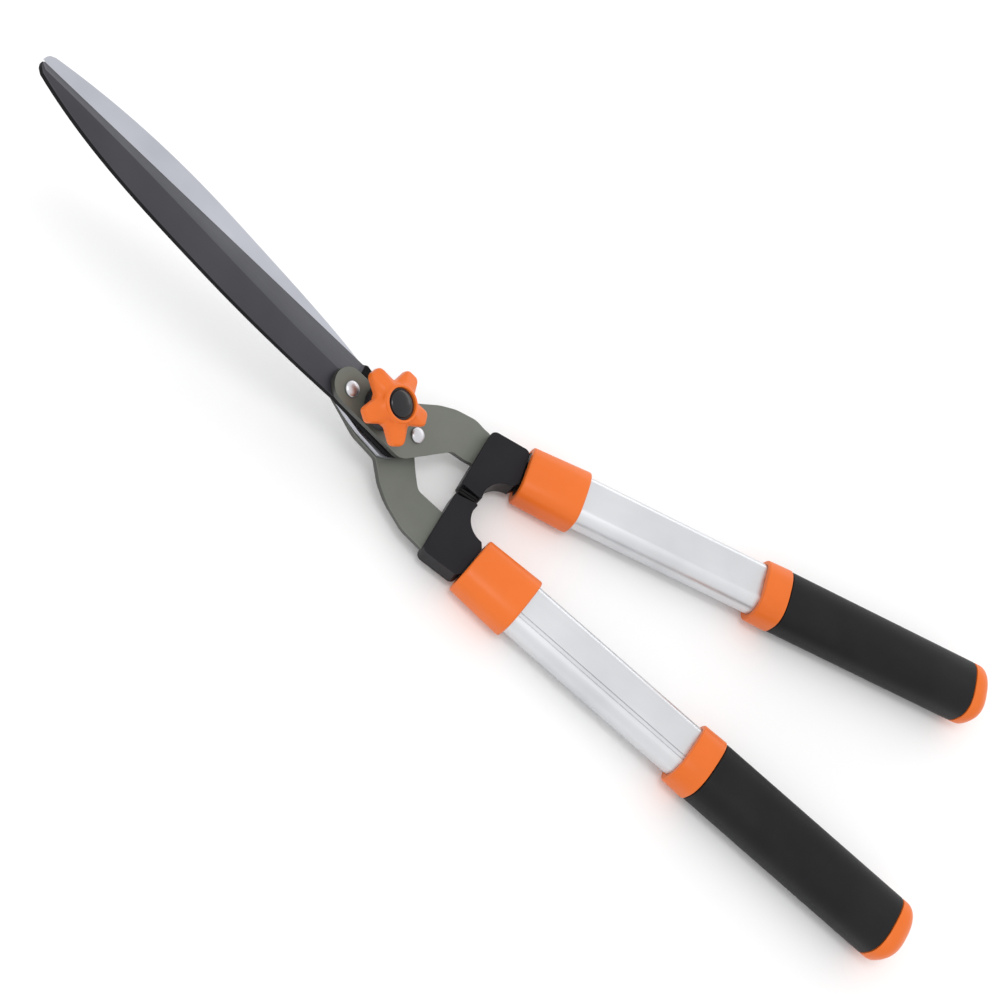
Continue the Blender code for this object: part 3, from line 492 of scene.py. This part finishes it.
def blade_section(x, back, front, start):
    """(y, z) round a section: back, face, bevel and honed edge; behind the heel it stays full."""
    low, high = BLADE_LEVELS
    width = front - back
    rounding = min(0.45 * MM, width / 8)
    full = smoothstep(x, HEEL - 2.4 * MM, HEEL + 0.6 * MM)
    bevel_width = 4.5 * MM + 8.5 * MM * smoothstep(x, start, HEEL)
    ground = max(back + width * 0.28, front - bevel_width)
    ground += (front - rounding - ground) * full
    edge_top = low + (0.5 + 2.2 * full) * MM
    honed = min(0.7 * MM, width / 6) * (1 - full) + rounding * 0.3 * full
    return (
        (back + rounding * 0.4, low), (back, low + 0.3 * MM), (back, high - 0.5 * MM),
        (back + rounding * 0.3, high - 0.15 * MM), (back + rounding, high), (ground, high),
        (ground + rounding * 0.3, high - 0.02 * MM), (front - honed, edge_top),
        (front - honed * 0.9, edge_top - 0.03 * MM), (front, low + 0.12 * MM),
        (front - rounding * 0.2, low))


# Places in a section that make up the blade's back, its ground bevel and its honed edge
BACK_PLACES = {0, 1, 2, 3}
BEVEL_PLACES = {6, 7}
HONED_PLACES = {8, 9, 10}
# Materials of the face, the bevel, the honed edge and the back, by slot; on the dark blade the
# bevel's lighter coat is painted sheen and the back's near-black coat is painted shade
BLADE_FINISHES = {
    "blade_dark": ("blade_dark", "blade_dark_painted_sheen", "blade_dark", "blade_dark_painted_shade"),
    "blade_bright": ("blade_bright", "blade_bright", "honed_edge", "blade_bright"),
}


def blade(name, side, slot, body):
    """A blade as sections along X: rounded back, flat face, ground bevel and honed edge."""
    outline = blade_outline(side)
    start = min(point.x for point in outline)
    end = max(point.x for point in outline)
    rings = []
    for x in blade_stations(start, end):
        section = blade_section(x, *span(outline, x), start)
        rings.append([Vector((x, side * y, side * z)) for y, z in section])
    edit = skin(rings, closed=False)
    edit.verts.ensure_lookup_table()
    edit.verts.index_update()
    count = len(rings[0])
    # Index 3: on the dark blade, the back, the closed ends and all behind the heel get the near-black
    # coat of painted shade
    for face in edit.faces:
        places = {vert.index % count for vert in face.verts}
        ground_here = max(vert.co.x for vert in face.verts) < HEEL - 1 * MM
        behind_heel = min(vert.co.x for vert in face.verts) > HEEL - 1 * MM
        if len(face.verts) > 4 or places <= BACK_PLACES or behind_heel:
            face.material_index = 3
        # Index 1: on the dark blade the bevel gets the lighter coat of painted sheen
        elif places <= BEVEL_PLACES and ground_here:
            face.material_index = 1
        elif places <= HONED_PLACES and ground_here:
            face.material_index = 2
    return add_piece(name, edit, slot, body, name, TOOL, materials=BLADE_FINISHES[slot],
                     smooth=20)


def tang(name, side, body):
    """A pressed steel plate, cut flat and then bent up to the handle over a fixed radius."""
    low, high = TANG_LEVELS
    middle = side * (low + high) / 2
    thick = (high - low) / 2
    bend_x = HANDLE_START.x - (HANDLE_START.z - middle) / math.tan(CRANK)
    radius = BEND_RADIUS

    def unfold(x):
        """The x in the flat plate of a place seen from above."""
        return x if x < bend_x else bend_x + (x - bend_x) / math.cos(CRANK)

    def shank(along, across):
        """A sharp corner of the flat plate, from handle coordinates."""
        place = in_plane(along, across)
        return unfold(HANDLE_START.x) + place.x, place.y, 0

    inner, outer = TANG_EDGES[side]
    half = SHANK_HALF_WIDTH
    corners = [TANG_NOSE[0]]
    corners += [(unfold(x), y, r) for x, y, r in inner]
    corners += [shank(5 * MM, -9.6 * MM), shank(10 * MM, -half), shank(SHANK_END, -half),
                shank(SHANK_END, half), shank(10 * MM, half), shank(5 * MM, 10.4 * MM)]
    corners += [(unfold(x), y, r) for x, y, r in outer]
    corners.append(TANG_NOSE[1])
    edit = plate(rounded(corners, steps=10), -thick, thick, side)
    arc_start = bend_x - radius * math.tan(CRANK / 2)
    rows = 10
    for k in range(rows + 1):
        geometry = edit.verts[:] + edit.edges[:] + edit.faces[:]
        bmesh.ops.bisect_plane(edit, geom=geometry, dist=0.001 * MM, plane_no=(1, 0, 0),
                               plane_co=(arc_start + radius * CRANK * k / rows, 0, 0))
    for vert in edit.verts:
        past = vert.co.x - arc_start
        angle = max(0, min(CRANK, past / radius))
        beyond = max(0, past - radius * CRANK)
        reach = radius - vert.co.z
        vert.co = Vector((
            min(vert.co.x, arc_start) + reach * math.sin(angle) + beyond * math.cos(angle),
            vert.co.y,
            middle + radius - reach * math.cos(angle) + beyond * math.sin(angle)))
    edit.normal_update()
    # Side faces and front-facing faces get the darker paint: painted shade along the plate's edges
    for face in edit.faces:
        upright = abs(face.normal.z) < 0.3 and abs(face.normal.y) > 0.1
        if upright or face.normal.x < -0.5:
            face.material_index = 1
    edit.transform(TOOL)
    piece = add_piece(name, edit, "tang_paint", body, name, Matrix.Identity(4),
                      materials=("tang_paint", "tang_side_painted_shade"))
    round_edges(piece, 0.45 * MM)
    return piece


def rivet(name, side, place, body):
    """A rivet with a domed head and a faint flat on top."""
    seat = TANG_LEVELS[1] + GAP
    head = RIVET_HEAD_RADIUS
    rim = seat + 0.4 * MM
    top = seat + RIVET_HEAD_HEIGHT
    profile = [(RIVET_RADIUS, BLADE_LEVELS[0] + 0.1 * MM), (RIVET_RADIUS, seat),
               (head - 0.15 * MM, seat), (head, seat + 0.15 * MM), (head, rim)]
    for k in range(1, 10):
        turn = math.radians(8 * k)
        profile.append((head * math.cos(turn), rim + (top - rim) * math.sin(turn)))
    profile.append((head * 0.12, top))
    rings = turned_rings(profile, 48)
    for ring in rings:
        for point in ring:
            point.z *= side
    frame = TOOL @ Matrix.Translation((place[0], side * place[1], 0))
    return add_piece(name, skin(rings, closed=False), "fastener_zinc", body, name, frame)


# ---------------------------------------------------------------- handles

def ferrule(name, side, body):
    """Nylon ferrule with the bumper arm, soft edges all round."""
    front_outer = HANDLE_START.y + FERRULE_HALF_WIDTH / math.cos(SPLAY)
    rear_outer = in_plane(FERRULE_END, FERRULE_HALF_WIDTH - 1.6 * MM)
    rear_inner = in_plane(FERRULE_END, -8.4 * MM)
    outline = rounded([(0, ARM_END, 1.2 * MM), (0, front_outer, 3.5 * MM),
                       (*rear_outer, 3.5 * MM), (*rear_inner, 0)])
    outline += arc((24.6 * MM, 5.6 * MM), 12.6 * MM, 96, 180, 20)
    outline += [Vector((ARM_WIDTH + 0.6 * MM, ARM_END + 0.6 * MM)), Vector((ARM_WIDTH, ARM_END))]
    edit = plate(outline, -FERRULE_DEPTH / 2, FERRULE_DEPTH / 2, side)
    piece = add_piece(name, edit, "black_nylon", body, name, plane_frame())
    round_edges(piece, 1.9 * MM, 5)
    return piece


def bumper(name, side, body):
    """Rubber pad on the end of a bumper arm."""
    low, high = sorted(side * level for level in BUMPER_LEVELS)
    inset = 0.9 * MM
    deep = FERRULE_DEPTH / 2 - inset
    outline = rounded([(inset, -deep, 1.4 * MM), (ARM_WIDTH - inset, -deep, 1.4 * MM),
                       (ARM_WIDTH - inset, deep, 1.4 * MM), (inset, deep, 1.4 * MM)])
    edit = plate(outline, low, high)
    frame = plane_frame() @ Matrix.Rotation(math.pi / 2, 4, "X")
    for vert in edit.verts:
        vert.co.z = -vert.co.z
    piece = add_piece(name, edit, "bumper_rubber", body, name, frame)
    round_edges(piece, 0.3 * MM)
    return piece


def oval(x, half_width, half_depth, side, powers=(2.7, 2.7), flat=None):
    """A rounded section; the powers square its inner and outer side, flat trims its faces."""
    ring = []
    for k in range(RING):
        angle = math.tau * k / RING
        across = math.cos(angle)
        deep = math.sin(angle)
        power = powers[1] if across > 0 else powers[0]
        reach = (abs(across / half_width) ** power + abs(deep / half_depth) ** power) ** (-1 / power)
        z = deep * reach
        if flat:
            z = max(-flat, min(flat, z))
        ring.append(Vector((x, side * across * reach, z)))
    return ring


def tube_ring(x, offset, side, groove=0):
    """The tube's section, moved outwards by offset; groove is +1 or -1 for the grooved face."""
    half_depth = TUBE_HALF_DEPTH + offset
    powers = TUBE_POWERS if side < 0 else TUBE_POWERS[::-1]
    ring = oval(x, TUBE_HALF_WIDTH + offset, half_depth * TUBE_CROWN, side, powers, half_depth)
    if not groove:
        return ring
    # Distance from the middle line and depth, across a shallow channel with a line on each side
    profile = ((7.95, 0.1), (7.65, 0.55), (7.35, 0.16), (5.75, 0.12), (5.45, 0.5), (5.2, 0),
               (4.9, 0))
    channel = [Vector((x, -across * MM, groove * (half_depth - drop * MM)))
               for across, drop in profile]
    kept = []
    for point in ring:
        if not CHANNEL[0] < -point.y < CHANNEL[1] or groove * point.z < 0:
            kept.append(point)
        elif channel:
            kept.extend(channel)
            channel = None
    return kept


def tube(name, side, body):
    """Extruded aluminium tube with two fine grooves in one face."""
    start, end = TUBE_START, GRIP[1]
    rings = [tube_ring(start + (end - start) * k / 12, 0, side, -side) for k in range(13)]
    across = 1 - TUBE_WALL / TUBE_HALF_WIDTH
    deep = 1 - TUBE_WALL / TUBE_HALF_DEPTH
    bore = [[Vector((point.x, point.y * across, point.z * deep)) for point in ring]
            for ring in (rings[-1], rings[0])]
    return add_piece(name, skin(rings + bore, closed=True), "tube_aluminium", body, name,
                     handle_frame(side), smooth=25)


def rounded_end(x, width, depth, radius, inward, side, powers, steps=6):
    """Rings from a sleeve's end face, round the edge, to its full section."""
    rings = []
    for k in range(steps + 1):
        turn = math.pi / 2 * k / steps
        inset = radius * (1 - math.sin(turn))
        rings.append(oval(x + inward * radius * (1 - math.cos(turn)), width - inset,
                          depth - inset, side, powers))
    return rings


def sleeve(name, ends, edges, side, slot, body, powers=(2.7, 2.7), step=None):
    """A moulded sleeve with rounded ends, each (x, half width, half depth), and its bore.

    The bore narrows in front of the step, where the tube's front end rests.
    """
    front, rear = ends
    rings = rounded_end(*front, edges[0], 1, side, powers)
    rings += reversed(rounded_end(*rear, edges[1], -1, side, powers))
    clearance = 0.25 * MM
    rings.append(tube_ring(rear[0], clearance, side))
    rings.append(tube_ring(rear[0] - 1.5 * MM, clearance, side))
    if step:
        rings.append(tube_ring(step, clearance, side))
        clearance -= TUBE_WALL + GAP
        rings.append(tube_ring(step, clearance, side))
    rings.append(tube_ring(front[0] + 1.5 * MM, clearance, side))
    rings.append(tube_ring(front[0], clearance, side))
    return add_piece(name, skin(rings, closed=True), slot, body, name, handle_frame(side))


def end_cap(name, side, body):
    """Domed cap with a small step where it meets the grip."""
    face = GRIP[1] + GAP
    width, depth = GRIP_HALF
    rings = [oval(face, width - 2.5 * MM, depth - 2.5 * MM, side),
             oval(face, width - 0.5 * MM, depth - 0.5 * MM, side),
             oval(face + 0.15 * MM, width - 0.15 * MM, depth - 0.15 * MM, side),
             oval(face + 0.5 * MM, width, depth, side)]
    dome = face + 3 * MM
    for k in range(15):
        turn = math.radians(6 * k)
        rings.append(oval(dome + (HANDLE_END - dome) * math.sin(turn), width * math.cos(turn),
                          depth * math.cos(turn), side))
    return add_piece(name, skin(rings, closed=False), "orange_plastic", body, name,
                     handle_frame(side))


def handle(prefix, side, body):
    """Everything on one side from the ferrule to the end cap."""
    ferrule(prefix + "_ferrule", side, body)
    bumper(prefix + "_bumper_pad", side, body)
    tube(prefix + "_tube", side, body)
    sleeve(prefix + "_coupling", (
        (COUPLING[0], 15.1 * MM, 11.7 * MM), (COUPLING[1], 16.6 * MM, 11.9 * MM)),
        (1.2 * MM, 1.4 * MM), side, "orange_plastic", body, (3.1, 2.8), TUBE_START - GAP)
    sleeve(prefix + "_collar", (
        (COLLAR[0], 16.9 * MM, 12.8 * MM), (COLLAR[1], 17.2 * MM, 13.4 * MM)),
        (0.9 * MM, 0.7 * MM), side, "orange_plastic", body)
    sleeve(prefix + "_grip", (
        (GRIP[0], *GRIP_HALF), (GRIP[1], *GRIP_HALF)),
        (0.8 * MM, 0.8 * MM), side, "grip_rubber", body)
    end_cap(prefix + "_end_cap", side, body)


# ---------------------------------------------------------------- pivot

def star_outline():
    """The knob seen along its axis, with points at most 0.8 mm apart."""
    corners = []
    for k in range(5):
        turn = Matrix.Rotation(KNOB_TURN + math.tau * k / 5, 2)
        valley = Matrix.Rotation(KNOB_TURN + math.tau * (k + 0.5) / 5, 2)
        for across in (-LOBE_HALF_WIDTH, LOBE_HALF_WIDTH):
            corners.append((*(turn @ Vector((KNOB_REACH, across))), 2.6 * MM))
        corners.append((*(valley @ Vector((KNOB_VALLEY, 0))), 3.5 * MM))
    arcs = rounded(corners)
    outline = []
    for first, second in zip(arcs, arcs[1:] + arcs[:1]):
        parts = math.ceil((second - first).length / (0.8 * MM))
        outline += [first.lerp(second, k / parts) for k in range(parts)]
    return outline


def knob_ring(height, share=1, circle=0, blend=0):
    """A ring of the knob: a share of the full star, blended into a plain circle."""
    ring = []
    for point in star_outline():
        place = share * point * (1 - blend) + point.normalized() * circle * blend
        ring.append(Vector((place.x, place.y, height)))
    return ring


def knob(body):
    """Star knob: rounded lobes, a raised hub with a recess for the cap, and the nut's pocket."""
    recess = CAP_RECESS
    seat = BOSS_TOP + GAP
    hollow = ((CAP_SEAT, 4.3), (NUT_TOP + GAP, 4.3), (NUT_TOP + GAP, 7.9), (seat, 7.9))
    rings = [knob_ring(height, circle=radius * MM, blend=1) for height, radius in hollow]
    rings.append(knob_ring(seat, circle=BOSS_RADIUS, blend=1))
    lobe = ((0, 0.93), (0.15, 0.955), (0.4, 0.98), (0.9, 0.998), (2.6, 1.0), (3.4, 0.995),
            (3.9, 0.982), (4.3, 0.962), (4.6, 0.94))
    rings += [knob_ring(LOBE_LOW + rise * MM, share) for rise, share in lobe]
    slope = ((0.3, 0.905, 0.05), (0.6, 0.875, 0.12), (0.95, 0.85, 0.24), (1.35, 0.83, 0.42),
             (1.8, 0.815, 0.63), (2.3, 0.80, 0.84), (2.8, 0.79, 0.95))
    rings += [knob_ring(LOBE_TOP + rise * MM, share, HUB_RADIUS + 0.3 * MM, blend)
              for rise, share, blend in slope]
    rim = ((-1.1, 0), (-0.7, 0.08), (-0.35, 0.25), (-0.1, 0.5), (0, 0.8))
    rings += [knob_ring(KNOB_HUB + rise * MM, circle=HUB_RADIUS - inset * MM, blend=1)
              for rise, inset in rim]
    rings += [knob_ring(height, circle=radius, blend=1) for height, radius in (
        (KNOB_HUB, recess + 0.5 * MM), (KNOB_HUB - 0.12 * MM, recess + 0.15 * MM),
        (KNOB_HUB - 0.5 * MM, recess), (CAP_SEAT, recess - 0.1 * MM))]
    return add_piece("knob", skin(rings, closed=True), "orange_plastic", body, "knob", TOOL)


def knob_boss(body):
    """Black boss under the star, with the rest of the nut's pocket and a recess for the washer; its
    black is partly the boss's own colour and partly painted shade under the lobes.
    """
    profile = ((7.9 * MM, BOSS_TOP), (BOSS_RADIUS - 0.3 * MM, BOSS_TOP),
               (BOSS_RADIUS, BOSS_TOP - 0.3 * MM), (BOSS_RADIUS, BOSS_LOW + 0.5 * MM),
               (BOSS_RADIUS - 0.15 * MM, BOSS_LOW + 0.15 * MM), (BOSS_RADIUS - 0.6 * MM, BOSS_LOW),
               (8.4 * MM, BOSS_LOW), (8.4 * MM, BOSS_LOW + 0.85 * MM),
               (7.9 * MM, BOSS_LOW + 0.85 * MM))
    return add_piece("knob_boss", skin(turned_rings(profile), closed=True), "black_nylon", body,
                     "knob_boss", TOOL)


def knob_cap(body):
    """Glossy domed cap in the knob's recess, with a flange round its foot."""
    radius = CAP_RADIUS - 0.15 * MM
    rim = KNOB_HUB - 1 * MM
    flange = CAP_RECESS - 0.2 * MM
    profile = [(flange - 0.2 * MM, CAP_SEAT + GAP), (flange, CAP_SEAT + 0.5 * MM),
               (flange, rim - 0.4 * MM), (flange - 0.15 * MM, rim - 0.25 * MM),
               (radius + 0.1 * MM, rim - 0.25 * MM), (radius, rim - 0.15 * MM)]
    for k in range(1, 15):
        turn = math.radians(6 * k)
        profile.append((radius * math.cos(turn), rim + (CAP_TOP - rim) * math.sin(turn)))
    return add_piece("knob_cap", skin(turned_rings(profile), closed=False), "black_nylon", body,
                     "knob_cap", TOOL, materials=("cap_gloss",))


def pivot_bolt(body):
    """Bolt with a chamfered flat head, its square neck drawn round here, and a plain shank."""
    under = -TANG_LEVELS[1] - GAP
    back = under - 4 * MM
    head = 8.5 * MM
    profile = [(3.2 * MM, 21 * MM), (3.85 * MM, 20.2 * MM), (3.85 * MM, 9.5 * MM),
               (4 * MM, 9.2 * MM), (4 * MM, under), (head - 0.3 * MM, under),
               (head, under - 0.3 * MM), (head, back + 1.5 * MM), (head - 0.12 * MM, back + 1.2 * MM),
               (head - 1.1 * MM, back + 0.12 * MM), (head - 1.4 * MM, back),
               (head - 3.2 * MM, back), (head - 3.35 * MM, back + 0.12 * MM),
               (head - 3.6 * MM, back + 0.12 * MM), (head - 3.75 * MM, back)]
    return add_piece("pivot_bolt", skin(turned_rings(profile), closed=False), "fastener_zinc",
                     body, "pivot_bolt", TOOL)


# ---------------------------------------------------------------- stage

def area_light(name, place, target, size, power):
    """A rectangular lamp that shines from its place at the target."""
    light = bpy.data.lights.new(name, "AREA")
    light.shape = "RECTANGLE"
    light.size, light.size_y = size
    light.energy = power
    item = bpy.data.objects.new(name, light)
    item.location = place
    item.rotation_euler = (Vector(target) - Vector(place)).to_track_quat("-Z", "Y").to_euler()
    bpy.context.scene.collection.objects.link(item)


def make_stage():
    """Pale floor, white surroundings and two soft lamps."""
    floor_look = Shader("pale_floor", (0.93, 0.93, 0.93), 0.7)
    floor_look.color(floor_look.noise(3), (0.92, 0.92, 0.92), (0.94, 0.94, 0.94))
    edit = bmesh.new()
    corners = [edit.verts.new((x, y, -0.2 * MM)) for x, y in ((-3, -3), (3, -3), (3, 3), (-3, 3))]
    edit.faces.new(corners)
    mesh = bpy.data.meshes.new("floor")
    edit.to_mesh(mesh)
    edit.free()
    mesh.materials.append(floor_look.material)
    floor = bpy.data.objects.new("floor", mesh)
    bpy.context.scene.collection.objects.link(floor)

    world = bpy.data.worlds.new("studio")
    bpy.context.scene.world = world
    world.use_nodes = True
    background = world.node_tree.nodes["Background"]
    background.inputs["Color"].default_value = (1, 1, 1, 1)
    background.inputs["Strength"].default_value = 1.03
    area_light("overhead", (-0.1, -0.2, 1.4), (0, 0, 0), (0.4, 0.4), 3)
    area_light("strip", (0.35, 1.3, 0.4), (0, 0, 0.03), (1.6, 0.3), 2.5)
    bpy.context.scene.view_settings.view_transform = "Standard"


def make_camera():
    """The photograph's camera, carried from the tool frame into the row frame."""
    camera = bpy.data.cameras.new("camera")
    camera.sensor_width = 36
    camera.lens = CAMERA_LENS
    camera.clip_start = 0.01
    item = bpy.data.objects.new("camera", camera)
    back = -CAMERA_FORWARD.normalized()
    right = CAMERA_UP.cross(back).normalized()
    frame = Matrix((right, back.cross(right), back)).transposed().to_4x4()
    frame.translation = CAMERA_PLACE
    item.matrix_world = TOOL @ frame
    bpy.context.scene.collection.objects.link(item)
    bpy.context.scene.camera = item


# ---------------------------------------------------------------- build

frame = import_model()
TOOL = tool_frame(next(joint for joint in frame["joints"] if joint["name"] == "blade_pivot"))
MATERIALS = make_materials()

for node in frame["record"]["subparts"]:
    mesh = frame["nodes"][node["node"]].data
    mesh.materials.clear()
    mesh.materials.append(MATERIALS[node["material_slot"]])

make_stage()
make_camera()
blade("lower_blade", -1, "blade_bright", "lower_half")
blade("upper_blade", 1, "blade_dark", "upper_half")
for prefix, side, body in (("lower", -1, "lower_half"), ("upper", 1, "upper_half")):
    tang(prefix + "_tang", side, body)
    for end, place in RIVETS[side].items():
        rivet(f"{prefix}_{end}_rivet", side, place, body)
    handle(prefix, side, body)
pivot_bolt("lower_half")
knob("adjusting_knob")
knob_boss("adjusting_knob")
knob_cap("adjusting_knob")
